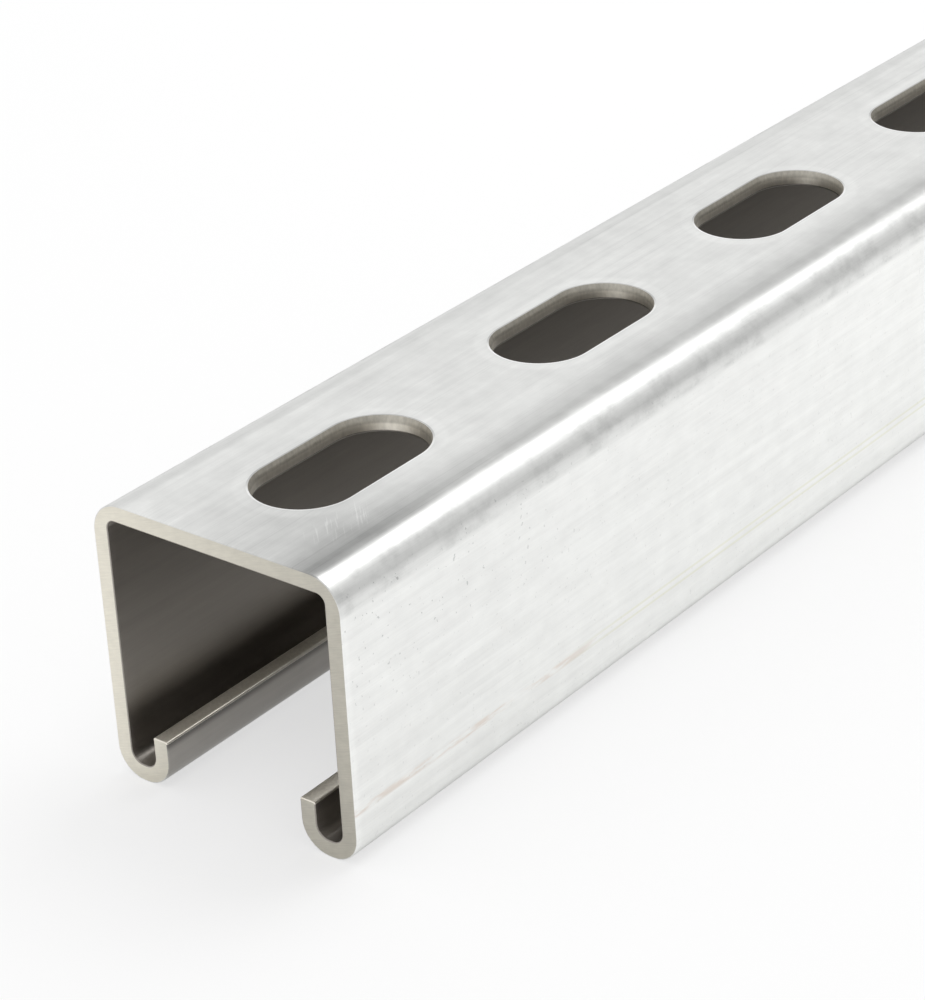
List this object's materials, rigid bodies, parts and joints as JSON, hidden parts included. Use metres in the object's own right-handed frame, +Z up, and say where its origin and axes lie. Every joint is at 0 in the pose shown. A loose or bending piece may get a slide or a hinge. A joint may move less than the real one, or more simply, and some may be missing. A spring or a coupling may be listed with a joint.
{
  "type": "slotted strut channel",
  "caption": "C-section strut channel with inturned lips and a row of long slots through its web, for fixing pipe clamps, brackets and channel nuts.",
  "frame": {"origin": "midway along the length and across the width, on the plane the undersides of the lips rest on", "axes": "+Y along the channel, +Z up out of the slotted web, +X towards one flange"},
  "size_m": [0.0412, 0.6096, 0.0413],
  "materials": {
    "stainless_steel": "mill finish with lengthwise rolling marks"
  },
  "bodies": {
    "root": {"strut_channel": "stainless_steel"}
  },
  "joints": []
}
